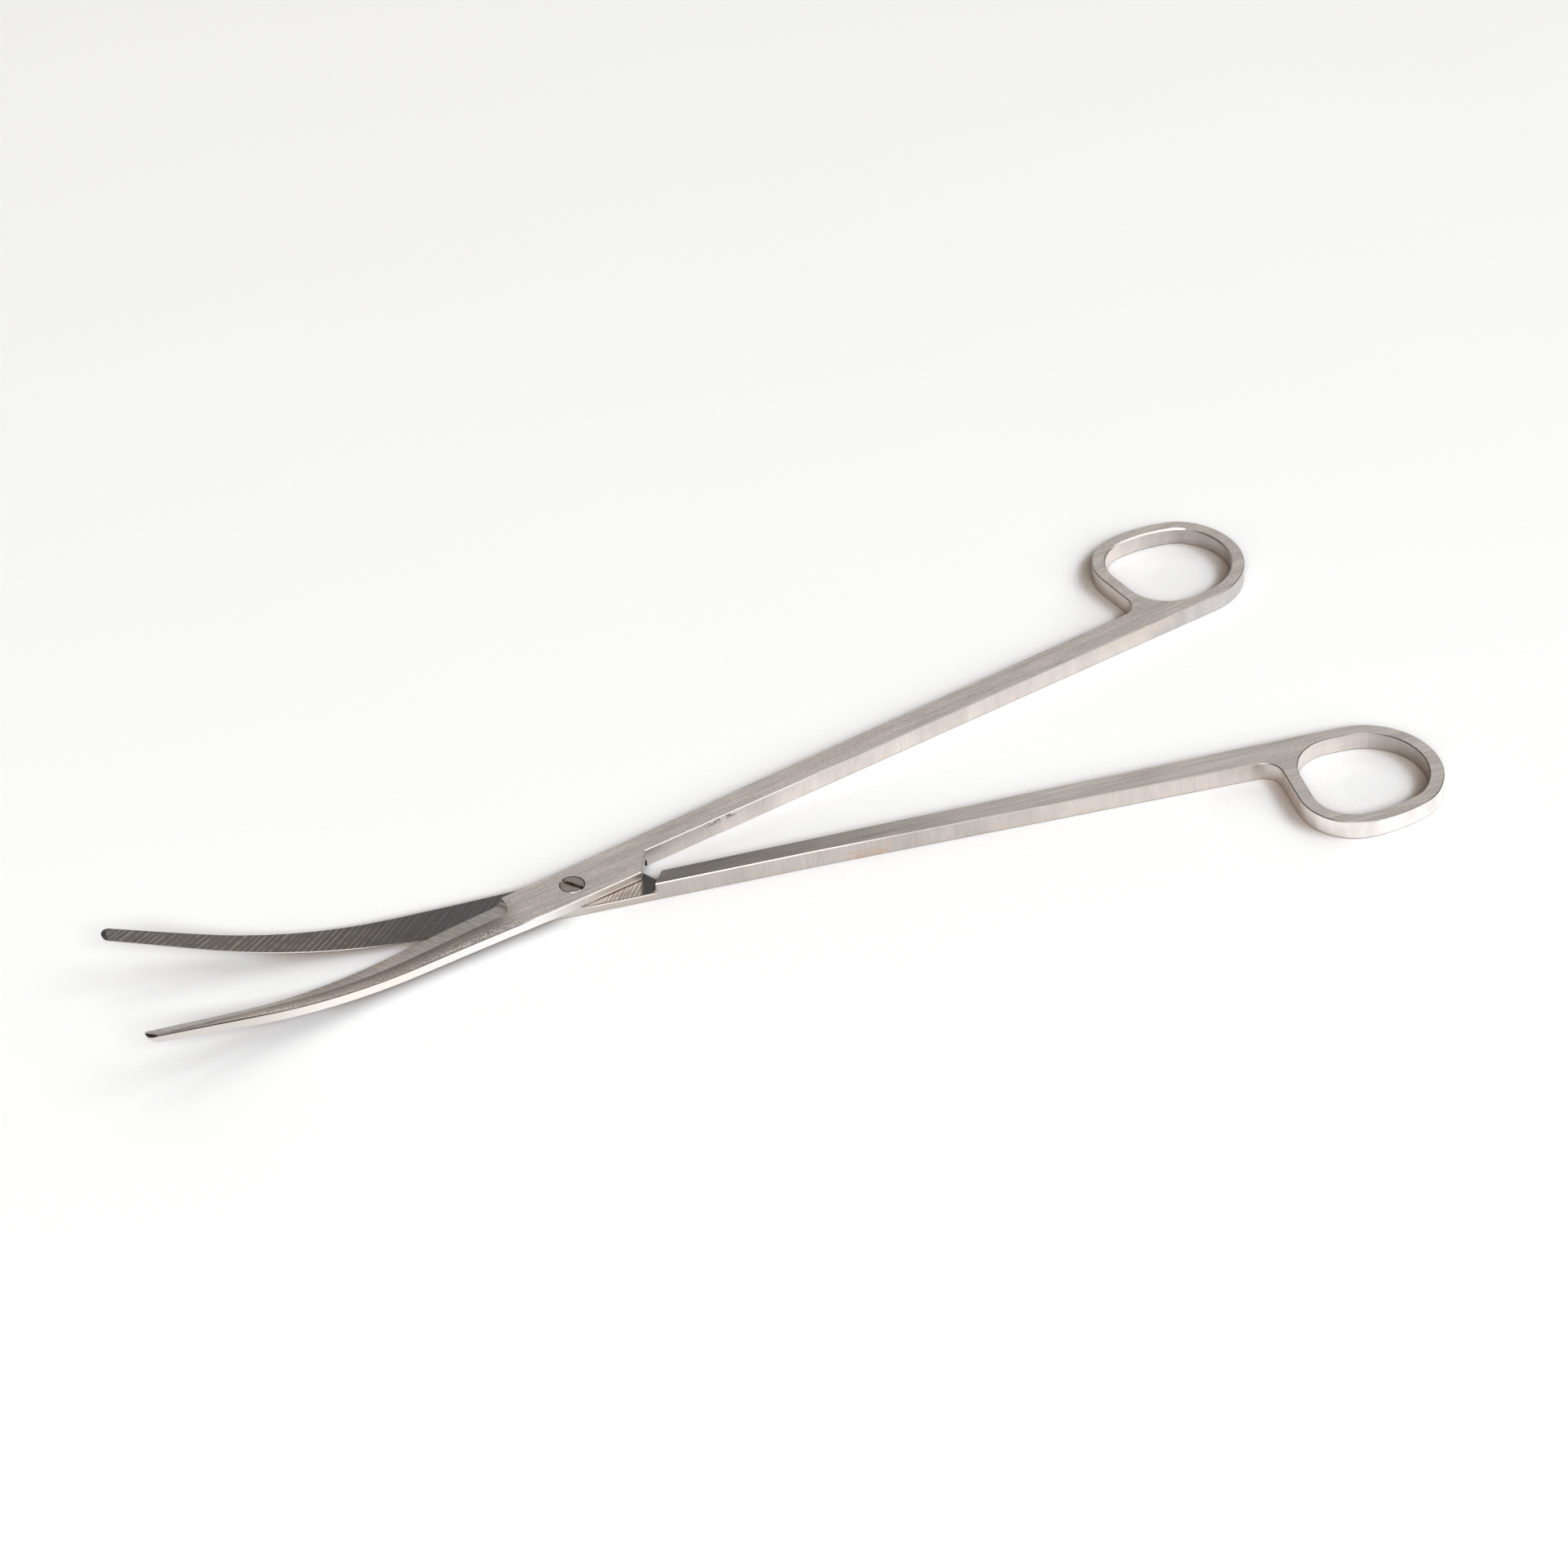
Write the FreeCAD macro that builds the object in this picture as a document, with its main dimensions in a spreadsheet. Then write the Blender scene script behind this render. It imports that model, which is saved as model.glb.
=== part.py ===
import FreeCAD, Part
import math
import os
import Sketcher
from FreeCAD import Vector

# Long scissors with blades that curve up, for reaching plants at the bottom of a tank or pond.
# Two flat steel halves are lapped at a slotted screw. Each half is a bar handle with a finger
# ring at one end and a ground blade at the other.
#
# The origin is on the screw's axis, on the plane that the handles rest on. +X runs along the
# line that halves the opening, towards the finger rings, and +Z is up.
#
# Each half is drawn in its own blank frame: +X along its handle, +Y towards the outer side where
# the finger ring stands proud, z = 0 on the face that carries the lap recess. The upper half sits
# like that. The lower half is the same blank turned over, with its blade bent the other way.

SIZES = {
    # pose and stock
    "opening_angle": 17.8,          # between the two handles, as the scissors lie at rest
    "stock_thickness": 3.8,
    "lap_gap": 0.03,                # between the two inner faces
    "edge_break": 0.16,             # small chamfer on the outer edges
    "upper_hole_break": 0.3,        # round the finger hole's rims
    "lower_hole_break": 0.15,
    # lap plate round the pivot
    "lap_end": 6.0,                 # pivot to where the blade begins
    "lap_outer": 4.6,               # half width on the finger ring's side
    "upper_lap_inner": 4.55,        # half width on the other side
    "lower_lap_inner": 3.9,
    "upper_step_foot": 12.2,        # where the lap plate's inner side ends
    "lower_step_foot": 11.8,
    "upper_step_head": 16.05,       # where the step reaches the handle's inner edge
    "lower_step_head": 15.4,
    "upper_shoulder": 16.5,         # pivot to the shoulder wall, on the handle's line
    "lower_shoulder": 17.5,
    "shoulder_lean": 31.4,          # angle between the wall and a square-cut end
    "shoulder_fillet": 0.9,
    # handle
    "upper_inner": 0.4,             # inner edge at the step, from the handle's line
    "upper_belly_at": 60.0,         # where the outer edge changes slope
    "upper_belly": 5.85,            # outer edge there
    "lower_inner": 1.15,
    "lower_belly_at": 45.0,
    "lower_belly": 4.95,
    "handle_end": 6.6,              # outer edge where the ring starts
    # finger ring
    "ring_start": 135.0,
    "ring_end": 164.3,
    "ring_top": 29.25,
    "ring_bottom": 0.85,
    "ring_heel_radius": 10.65,
    "ring_top_radius": 30.3,
    "ring_toe_radius": 9.8,
    "ring_nose_radius": 14.2,
    "ring_join": 146.0,             # how far the handle's bar runs under the ring
    "ring_wall": 2.65,
    "hole_corner_radius": 8.9,
    "neck_fillet": 3.6,
    # blade, seen from above
    "edge_start": 13.3,
    "edge_arc_end": 40.0,
    "edge_arc_end_offset": 3.35,
    "edge_arc_radius": 380.0,
    "upper_tip": 86.3,              # where the cutting edge ends
    "lower_tip": 84.9,
    "upper_edge_tip_offset": -0.9,
    "lower_edge_tip_offset": -0.2,
    "upper_back_tip_offset": -4.25,
    "lower_back_tip_offset": -3.75,
    "back_radius": 900.0,
    "tip_skew": 0.7,                # how much sooner the back ends than the cutting edge
    "tip_radius": 2.1,
    "tip_facet": 0.9,               # length of the slope that ends the outer face
    # blade, seen from the side
    "bend_start": 33.0,
    "bend_radius": 112.0,
    "bend_angle": 18.3,
    "tip_thickness": 1.45,
    # ground bevel
    "bevel_root_offset": 0.05,
    "bevel_middle": 60.0,
    "bevel_middle_offset": -1.4,
    "bevel_tip_margin": 0.4,        # outer face left at the tip, beyond the bevel
    "edge_land": 0.22,              # flat left along the cutting edge
    "plunge_length": 1.7,           # rounded start of the bevel
    # pivot screw
    "head_radius": 2.35,
    "head_height": 1.0,
    "head_clearance": 0.08,
    "shank_radius": 1.5,
    "shank_clearance": 0.03,
    "thread_radius": 1.2,
    "slot_width": 0.85,
    "slot_depth": 0.5,
    "slot_angle": -54.0,
}

doc = FreeCAD.newDocument("curved_scissors")
sheet = doc.addObject("Spreadsheet::Sheet", "Sizes")
for row, (alias, number) in enumerate(SIZES.items(), start=1):
    sheet.set(f"A{row}", alias)
    sheet.set(f"B{row}", str(number))
    sheet.setAlias(f"B{row}", alias)
doc.recompute()

REACH = 14.0            # past the blade's widest place, for sketches that cut or trim it
WIDE = 2 * REACH
TIP_SPARE = 1.2         # how far the blade's blank runs past its cutting edge's end
INNER_FACE = "(Sizes.stock_thickness + Sizes.lap_gap) / 2"
UP = Vector(0, 0, 1)
RING_ARCS = ("heel", "top", "toe", "nose")
# Where the ring's arcs roughly meet, and the toe's centre: the sketch solver starts from these.
RING_TURNS = [math.radians(angle) for angle in (180, 90, 68, 41, -90)]
TOE_CENTRE = Vector(153.4, 17.9, 0)
PLUNGE_STEPS = 6
GRIND_STEPS = 16


def size(alias):
    """The number in the sheet's cell."""
    return float(sheet.get(alias))


def value(expression):
    """What an expression over the sheet's cells comes to."""
    result = sheet.evalExpression(expression)
    return float(getattr(result, "Value", result))


def new_body(name):
    return doc.addObject("PartDesign::Body", name)


def new_sketch(body, name, role, lift=None):
    """A sketch on one of the body's own origin planes, raised by the expression in lift."""
    sketch = body.newObject("Sketcher::SketchObject", name)
    plane = next(f for f in body.Origin.OriginFeatures if f.Role == role)
    sketch.AttachmentSupport = [(plane, "")]
    sketch.MapMode = "FlatFace"
    if lift:
        sketch.setExpression("AttachmentOffset.Base.z", lift)
    doc.recompute()
    return sketch


def bind(sketch, constraint, expression):
    """Add a dimension and tie it to an expression."""
    index = sketch.addConstraint(constraint)
    sketch.setExpression(f"Constraints[{index}]", expression)
    return index


def place_point(sketch, curve, end, x, y):
    """Tie a curve's end to the expressions x and y, measured from the sketch's origin."""
    bind(sketch, Sketcher.Constraint("DistanceX", -1, 1, curve, end, value(x)), x)
    bind(sketch, Sketcher.Constraint("DistanceY", -1, 1, curve, end, value(y)), y)


def arc_between(start, end, radius, left):
    """The short arc from start to end, with its centre on the left or right of that way."""
    chord = end.sub(start)
    side = Vector(-chord.y, chord.x, 0).normalize()
    reach = math.sqrt(radius ** 2 - (chord.Length / 2) ** 2)
    centre = start.add(chord.multiply(0.5)).add(side.multiply(reach if left else -reach))
    first, last = (start, end) if left else (end, start)
    angles = [math.atan2(p.y - centre.y, p.x - centre.x) for p in (first, last)]
    circle = Part.Circle(centre, UP, radius)
    return Part.ArcOfCircle(circle, angles[0], angles[1])


def draw_outline(sketch, corners):
    """A closed outline. Each corner is (x, y) or (x, y, radius, "left" or "right"), in
    expressions, and a radius makes the side that leaves the corner an arc."""
    points = [Vector(value(c[0]), value(c[1]), 0) for c in corners]
    ends = []
    for i, corner in enumerate(corners):
        start, end = points[i], points[(i + 1) % len(points)]
        if len(corner) == 2:
            ends.append((sketch.addGeometry(Part.LineSegment(start, end)), 1, 2))
            continue
        left = corner[3] == "left"
        arc = sketch.addGeometry(arc_between(start, end, value(corner[2]), left))
        ends.append((arc, 1, 2) if left else (arc, 2, 1))
    for i, corner in enumerate(corners):
        curve, first, last = ends[i]
        following, following_first, _ = ends[(i + 1) % len(ends)]
        sketch.addConstraint(
            Sketcher.Constraint("Coincident", curve, last, following, following_first))
        place_point(sketch, curve, first, corner[0], corner[1])
    for i, corner in enumerate(corners):
        if len(corner) == 4:
            radius = Sketcher.Constraint("Radius", ends[i][0], value(corner[2]))
            bind(sketch, radius, corner[2])
    doc.recompute()


def draw_circle(sketch, radius):
    """A circle on the sketch's origin."""
    circle = Part.Circle(Vector(0, 0, 0), UP, value(radius))
    index = sketch.addGeometry(circle)
    sketch.addConstraint(Sketcher.Constraint("Coincident", index, 3, -1, 1))
    bind(sketch, Sketcher.Constraint("Radius", index, value(radius)), radius)
    doc.recompute()


def pad(body, sketch, name, length, midplane=False):
    feature = body.newObject("PartDesign::Pad", name)
    feature.Profile = sketch
    feature.Midplane = midplane
    feature.setExpression("Length", length)
    doc.recompute()
    return feature


def pocket(body, sketch, name, depth=None, upward=False):
    """Cut a sketch down by depth, or up, or right through both ways."""
    before = body.Shape.Volume
    feature = body.newObject("PartDesign::Pocket", name)
    feature.Profile = sketch
    if depth:
        feature.setExpression("Length", depth)
        feature.Reversed = upward
    else:
        feature.Type = "ThroughAll"
        feature.Midplane = True
    doc.recompute()
    if body.Shape.Volume > before - 1e-3:
        raise RuntimeError(f"{name} cut nothing")
    return feature


def dress(body, kind, name, edges, property_name, expression):
    """A fillet or chamfer on the named edges of the body's tip."""
    base = body.Tip
    feature = body.newObject(f"PartDesign::{kind}", name)
    feature.Base = (base, edges)
    feature.setExpression(property_name, expression)
    doc.recompute()
    if feature.Shape.isNull():
        raise RuntimeError(f"{name} could not be made")


def edges_where(shape, test):
    return [f"Edge{i}" for i, edge in enumerate(shape.Edges, start=1) if test(edge)]


def ends_near(edge, x, y, tolerance=0.3):
    """Whether both ends of an edge lie near (x, y) seen from above."""
    return all(math.hypot(v.X - x, v.Y - y) < tolerance for v in edge.Vertexes)


def draw_ring(sketch, inset, corner=None):
    """The finger ring's outline, moved in by inset: a straight heel by the neck, four tangent
    arcs and a flat bottom. They meet in a square corner, or in a round one of radius corner."""
    start, end, top, bottom = (value(f"Sizes.ring_{k}") for k in ("start", "end", "top", "bottom"))
    heel, crown, _, nose = (value(f"Sizes.ring_{k}_radius") for k in RING_ARCS)
    move = value(inset)
    centres = [Vector(start + heel, top - heel, 0), Vector(start + heel, top - crown, 0),
               TOE_CENTRE, Vector(end - nose, bottom + nose, 0)]
    arcs = []
    for i, kind in enumerate(RING_ARCS):
        circle = Part.Circle(centres[i], UP, value(f"Sizes.ring_{kind}_radius") - move)
        arcs.append(sketch.addGeometry(Part.ArcOfCircle(circle, RING_TURNS[i + 1], RING_TURNS[i])))
    rounding = value(corner) if corner else 0.0
    left, low = start + move, bottom + move
    heel_line = Part.LineSegment(Vector(left, low + rounding, 0), Vector(left, top - heel, 0))
    base_line = Part.LineSegment(Vector(end - nose, low, 0), Vector(left + rounding, low, 0))
    side = sketch.addGeometry(heel_line)
    base = sketch.addGeometry(base_line)
    sketch.addConstraint(Sketcher.Constraint("Vertical", side))
    sketch.addConstraint(Sketcher.Constraint("Horizontal", base))
    sketch.addConstraint(Sketcher.Constraint("Tangent", side, 2, arcs[0], 2))
    for arc, following in zip(arcs, arcs[1:]):
        sketch.addConstraint(Sketcher.Constraint("Tangent", arc, 1, following, 2))
    sketch.addConstraint(Sketcher.Constraint("Tangent", arcs[3], 1, base, 1))
    sketch.addConstraint(Sketcher.Constraint("Vertical", arcs[0], 3, arcs[1], 3))
    for arc, kind in zip(arcs, RING_ARCS):
        radius = f"Sizes.ring_{kind}_radius - {inset}"
        bind(sketch, Sketcher.Constraint("Radius", arc, value(radius)), radius)
    place_point(sketch, arcs[0], 3, "Sizes.ring_start + Sizes.ring_heel_radius",
                "Sizes.ring_top - Sizes.ring_heel_radius")
    place_point(sketch, arcs[3], 3, "Sizes.ring_end - Sizes.ring_nose_radius",
                "Sizes.ring_bottom + Sizes.ring_nose_radius")
    if corner:
        circle = Part.Circle(Vector(left + rounding, low + rounding, 0), UP, rounding)
        arc = sketch.addGeometry(Part.ArcOfCircle(circle, math.pi, 1.5 * math.pi))
        sketch.addConstraint(Sketcher.Constraint("Tangent", base, 2, arc, 2))
        sketch.addConstraint(Sketcher.Constraint("Tangent", arc, 1, side, 1))
        bind(sketch, Sketcher.Constraint("Radius", arc, rounding), corner)
    else:
        sketch.addConstraint(Sketcher.Constraint("Coincident", base, 2, side, 1))
    doc.recompute()


def draw_plate(sketch, half):
    """The bar handle and the lap plate at its end, seen from above."""
    draw_outline(sketch, [
        ("-Sizes.lap_end", f"-Sizes.{half}_lap_inner"),
        (f"Sizes.{half}_step_foot", f"-Sizes.{half}_lap_inner"),
        (f"Sizes.{half}_step_head", f"Sizes.{half}_inner"),
        ("Sizes.ring_start", "Sizes.ring_bottom"),
        ("Sizes.ring_join", "Sizes.ring_bottom"),
        ("Sizes.ring_join", "Sizes.handle_end"),
        ("Sizes.ring_start", "Sizes.handle_end"),
        (f"Sizes.{half}_belly_at", f"Sizes.{half}_belly"),
        ("-Sizes.lap_end", "Sizes.lap_outer"),
    ])


def draw_recess(sketch, half):
    """Everything on the blade's side of the shoulder wall, which leans across the handle."""
    lean = "* tan(Sizes.shoulder_lean * 1deg)"
    draw_outline(sketch, [
        ("-Sizes.lap_end - 1", f"-{REACH}"),
        (f"Sizes.{half}_shoulder + {REACH} {lean}", f"-{REACH}"),
        (f"Sizes.{half}_shoulder - {REACH} {lean}", f"{REACH}"),
        ("-Sizes.lap_end - 1", f"{REACH}"),
    ])


def draw_blade_side(sketch, half, bend):
    """The blade from the side: flat, then bent through an arc, then straight and thinning to the
    tip. bend is 1 to bend it up and -1 to bend it down."""
    leaving, returning = ("right", "left") if bend > 0 else ("left", "right")
    angle = "(Sizes.bend_angle * 1deg)"
    inner, outer = f"({INNER_FACE})", "Sizes.stock_thickness"
    inner_radius = "Sizes.bend_radius"
    outer_radius = f"(Sizes.bend_radius - {bend} * ({outer} - {inner}))"
    inner_x = f"(-Sizes.bend_start - {inner_radius} * sin{angle})"
    inner_z = f"({inner} + {bend} * {inner_radius} * (1 - cos{angle}))"
    outer_x = f"(-Sizes.bend_start - {outer_radius} * sin{angle})"
    outer_z = f"({outer} + {bend} * {outer_radius} * (1 - cos{angle}))"
    tip_x, facet_x = f"(-Sizes.{half}_tip - {TIP_SPARE})", f"(-Sizes.{half}_tip + Sizes.tip_facet)"
    tip_z, facet_z = (f"({inner_z} + {bend} * ({inner_x} - {x}) * tan{angle})" for x in (tip_x, facet_x))
    draw_outline(sketch, [
        ("-Sizes.lap_end", inner),
        ("-Sizes.lap_end", outer),
        ("-Sizes.bend_start", outer, outer_radius, leaving),
        (outer_x, outer_z),
        (facet_x, f"{facet_z} + Sizes.tip_thickness / cos{angle}"),
        (tip_x, tip_z),
        (inner_x, inner_z, inner_radius, returning),
        ("-Sizes.bend_start", inner),
    ])


def draw_blade_waste(sketch, half):
    """All that is trimmed away round the blade, seen from above: a U that leaves the cutting
    edge, the rounded tip and the hollow back."""
    tip = f"-Sizes.{half}_tip"
    draw_outline(sketch, [
        ("-Sizes.lap_end", "Sizes.lap_outer"),
        ("-Sizes.lap_end", f"{REACH}"),
        (f"{tip} - {REACH}", f"{REACH}"),
        (f"{tip} - {REACH}", f"-{REACH}"),
        ("-Sizes.lap_end", f"-{REACH}"),
        ("-Sizes.lap_end", f"-Sizes.{half}_lap_inner", "Sizes.back_radius", "left"),
        (f"{tip} + Sizes.tip_skew", f"Sizes.{half}_back_tip_offset", "Sizes.tip_radius", "right"),
        (tip, f"Sizes.{half}_edge_tip_offset"),
        ("-Sizes.edge_arc_end", "Sizes.edge_arc_end_offset", "Sizes.edge_arc_radius", "right"),
        ("-Sizes.edge_start", "Sizes.lap_outer"),
    ])


def rise_and_slope(distance):
    """How far the blade's inner face has left the flat at a distance from the pivot, and the
    angle that it climbs at there."""
    start, radius, angle = size("bend_start"), size("bend_radius"), math.radians(size("bend_angle"))
    along = distance - start
    if along <= 0:
        return 0.0, 0.0
    if along <= radius * math.sin(angle):
        return radius - math.sqrt(radius ** 2 - along ** 2), math.asin(along / radius)
    return radius * (1 - math.cos(angle)) + (along - radius * math.sin(angle)) * math.tan(angle), angle


def between(distance, near, far):
    """A value on the straight line from near to far, each a (distance, value) pair."""
    share = (distance - near[0]) / (far[0] - near[0])
    return near[1] + (far[1] - near[1]) * share


def edge_offset(distance, half):
    """The cutting edge's distance from the handle's line."""
    start = (size("edge_start"), size("lap_outer"))
    turn = (size("edge_arc_end"), size("edge_arc_end_offset"))
    tip = (size(f"{half}_tip"), size(f"{half}_edge_tip_offset"))
    if distance > turn[0]:
        return between(distance, turn, tip)
    bow = (distance - start[0]) * (turn[0] - distance) / (2 * size("edge_arc_radius"))
    return between(distance, start, turn) + bow


def bevel_offset(distance, half):
    """Where the bevel meets the outer face, as a distance from the handle's line."""
    root = (size("edge_start"), size("bevel_root_offset"))
    middle = (size("bevel_middle"), size("bevel_middle_offset"))
    tip = (size(f"{half}_tip"), size(f"{half}_back_tip_offset") + size("bevel_tip_margin"))
    return between(distance, root, middle) if distance < middle[0] else between(distance, middle, tip)


def face_heights(distance, half, bend):
    """The heights of the blade's inner and outer faces. The blade thins once the bend is over."""
    climb, slope = rise_and_slope(distance)
    inner = value(INNER_FACE) + bend * climb
    stock = size("stock_thickness") - value(INNER_FACE)
    bend_end = size("bend_start") + size("bend_radius") * math.sin(math.radians(size("bend_angle")))
    thickness = stock
    if distance > bend_end:
        tip = (size(f"{half}_tip") - size("tip_facet"), size("tip_thickness"))
        thickness = between(distance, (bend_end, stock), tip)
    return inner, inner + thickness / math.cos(slope)


def bevel_section(distance, half, bend, depth):
    """The triangle of steel that the bevel takes at a distance from the pivot. depth runs from 0,
    where the grinding starts, to 1, where it is down to the cutting edge."""
    inner, outer = face_heights(distance, half, bend)
    lift = (1 - depth) * (outer - inner)
    crest = Vector(-distance, bevel_offset(distance, half), outer + lift)
    edge = Vector(-distance, edge_offset(distance, half), inner + size("edge_land") + lift)
    face = edge.sub(crest)
    inside = crest.sub(Vector(face).multiply(0.3))
    outside = edge.add(Vector(face).multiply(0.6))
    above = Vector(-distance, outside.y, inside.z + 1.0)
    return Part.makePolygon([inside, outside, above, inside])


def bevel_waste(half, bend):
    """The steel that the bevel takes: a rounded plunge near the pivot, then the long grind."""
    root, plunge = size("edge_start"), size("plunge_length")
    plunge_sections = []
    for step in range(PLUNGE_STEPS + 1):
        share = step / PLUNGE_STEPS
        depth = math.sqrt(1 - (1 - share) ** 2)
        plunge_sections.append(bevel_section(root + (share - 0.5) * plunge, half, bend, depth))
    first, last = root + plunge / 2, size(f"{half}_tip") + TIP_SPARE
    grind_sections = []
    for step in range(GRIND_STEPS + 1):
        distance = first + (last - first) * step / GRIND_STEPS
        grind_sections.append(bevel_section(distance, half, bend, 1))
    return Part.makeLoft(plunge_sections, True, True).fuse(Part.makeLoft(grind_sections, True, False))


def cut_recess(body, half):
    """Halve the thickness round the pivot, up to the shoulder wall, and round its foot."""
    recess = new_sketch(body, f"{half}_recess_outline", "XY_Plane")
    draw_recess(recess, half)
    pocket(body, recess, f"{half}_recess", INNER_FACE, upward=True)
    inner, lean = value(INNER_FACE), math.tan(math.radians(size("shoulder_lean")))

    def at_foot(edge):
        middle = edge.CenterOfMass
        off_wall = middle.x - (size(f"{half}_shoulder") - middle.y * lean)
        return abs(middle.z - inner) < 1e-3 and abs(off_wall) < 1e-3

    dress(body, "Fillet", f"{half}_shoulder_fillet", edges_where(body.Shape, at_foot),
          "Radius", "Sizes.shoulder_fillet")


def round_neck(body, half):
    """Fill the corner where the ring leaves the handle."""
    x, y = size("ring_start"), size("handle_end")
    necks = edges_where(body.Shape, lambda edge: ends_near(edge, x, y))
    dress(body, "Fillet", f"{half}_neck_fillet", necks, "Radius", "Sizes.neck_fillet")


def cut_finger_hole(body, half):
    """Cut the finger hole and chamfer its two rims, which are the level edges it has added."""
    before = [edge.CenterOfMass for edge in body.Shape.Edges]
    hole = new_sketch(body, f"{half}_finger_outline", "XY_Plane")
    draw_ring(hole, "Sizes.ring_wall", "Sizes.hole_corner_radius")
    pocket(body, hole, f"{half}_finger_hole")

    def on_rim(edge):
        is_new = all(edge.CenterOfMass.distanceToPoint(old) > 1e-3 for old in before)
        return is_new and edge.BoundBox.ZLength < 1e-4

    dress(body, "Chamfer", f"{half}_hole_break", edges_where(body.Shape, on_rim),
          "Size", f"Sizes.{half}_hole_break")


def add_blade(body, half, bend):
    """The bent blade, trimmed to its outline. It starts on the lap plate's end face."""
    side = new_sketch(body, f"{half}_blade_side", "XZ_Plane")
    draw_blade_side(side, half, bend)
    pad(body, side, f"{half}_blade", f"{WIDE}", midplane=True)
    waste = new_sketch(body, f"{half}_blade_waste", "XY_Plane")
    draw_blade_waste(waste, half)
    pocket(body, waste, f"{half}_blade_trim")


def break_edges(body, half, bend):
    """Chamfer the edges of the bar and of the blade's back. The lap side stays sharp up to the
    handle, and so does the ground side of the blade."""
    thickness, lap_side = size("stock_thickness"), size(f"{half}_lap_inner")
    back_end = size(f"{half}_tip") - size("tip_facet")

    def flat(edge, height):
        return edge.BoundBox.ZLength < 1e-4 and abs(edge.BoundBox.ZMin - height) < 1e-4

    def on_bar(edge):
        if flat(edge, 0):
            return edge.BoundBox.XMax > size(f"{half}_shoulder") + lap_side
        return flat(edge, thickness) and edge.BoundBox.XMin > -size("edge_start") - 0.1

    def along_back(edge):
        return all(size("lap_end") - 0.1 < -v.X < back_end + 0.1 and v.Y < -lap_side / 2
                   and abs(v.Z - face_heights(-v.X, half, bend)[1]) < 0.02 for v in edge.Vertexes)

    edges = edges_where(body.Shape, lambda edge: on_bar(edge) or along_back(edge))
    dress(body, "Chamfer", f"{half}_edge_break", edges, "Size", "Sizes.edge_break")


def drill_pivot(body, half):
    """The upper half turns on the screw's shank and lets its head in. The lower half holds the
    screw's thread."""
    hole = new_sketch(body, f"{half}_pivot_circle", "XY_Plane")
    if half == "lower":
        draw_circle(hole, "Sizes.thread_radius")
        pocket(body, hole, f"{half}_thread_hole")
        return
    draw_circle(hole, "Sizes.shank_radius + Sizes.shank_clearance")
    pocket(body, hole, f"{half}_pivot_hole")
    seat = new_sketch(body, f"{half}_head_circle", "XY_Plane", "Sizes.stock_thickness")
    draw_circle(seat, "Sizes.head_radius + Sizes.head_clearance")
    pocket(body, seat, f"{half}_head_seat", "Sizes.head_height + Sizes.shank_clearance")


def build_half(half, bend):
    """One half of the scissors, in its blank's frame."""
    body = new_body(f"{half}_blank")
    plate = new_sketch(body, f"{half}_plate_outline", "XY_Plane")
    draw_plate(plate, half)
    pad(body, plate, f"{half}_plate", "Sizes.stock_thickness")
    ring = new_sketch(body, f"{half}_ring_outline", "XY_Plane")
    draw_ring(ring, "0")
    pad(body, ring, f"{half}_ring", "Sizes.stock_thickness")
    round_neck(body, half)
    cut_recess(body, half)
    add_blade(body, half, bend)
    break_edges(body, half, bend)
    cut_finger_hole(body, half)
    drill_pivot(body, half)
    waste = doc.addObject("Part::Feature", f"{half}_bevel_waste")
    waste.Shape = bevel_waste(half, bend)
    ground = doc.addObject("Part::Cut", f"{half}_half")
    ground.Base = body
    ground.Tool = waste
    doc.recompute()
    return ground


def build_screw():
    """The slotted pivot screw, standing on its axis with its head's top at z = 0."""
    body = new_body("pivot_screw")
    profile = new_sketch(body, "screw_profile", "XZ_Plane")
    under_head = "-Sizes.head_height"
    at_lap = "-(Sizes.stock_thickness + Sizes.lap_gap) / 2"
    end = "-Sizes.stock_thickness"
    draw_outline(profile, [
        ("0", "0"),
        ("Sizes.head_radius - Sizes.edge_break", "0"),
        ("Sizes.head_radius", "-Sizes.edge_break"),
        ("Sizes.head_radius", under_head),
        ("Sizes.shank_radius", under_head),
        ("Sizes.shank_radius", at_lap),
        ("Sizes.thread_radius", at_lap),
        ("Sizes.thread_radius", end),
        ("0", end),
    ])
    turned = body.newObject("PartDesign::Revolution", "screw_turned")
    turned.Profile = profile
    turned.ReferenceAxis = (profile, ["V_Axis"])
    turned.Angle = 360
    doc.recompute()
    slot = new_sketch(body, "slot_outline", "XY_Plane")
    half_width, half_length = "Sizes.slot_width / 2", "Sizes.head_radius + 1"
    draw_outline(slot, [
        (f"-({half_length})", f"-{half_width}"),
        (half_length, f"-{half_width}"),
        (half_length, half_width),
        (f"-({half_length})", half_width),
    ])
    pocket(body, slot, "screw_slot", "Sizes.slot_depth")
    return body


upper = build_half("upper", 1)
upper.Label = "upper_half"
upper.setExpression("Placement.Rotation.Angle", "Sizes.opening_angle * 0.5deg")
lower = build_half("lower", -1)
lower.Label = "lower_half"
lower.setExpression("Placement", (
    "create(<<placement>>; create(<<vector>>; 0; 0; Sizes.stock_thickness); "
    "create(<<rotation>>; create(<<vector>>; cos(Sizes.opening_angle * 0.25deg); "
    "-sin(Sizes.opening_angle * 0.25deg); 0); 180deg))"))
screw = build_screw()
screw.Label = "pivot_screw"
screw.setExpression("Placement.Base.z", "Sizes.stock_thickness")
screw.setExpression("Placement.Rotation.Angle", "Sizes.slot_angle * 1deg")
doc.recompute()

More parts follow.
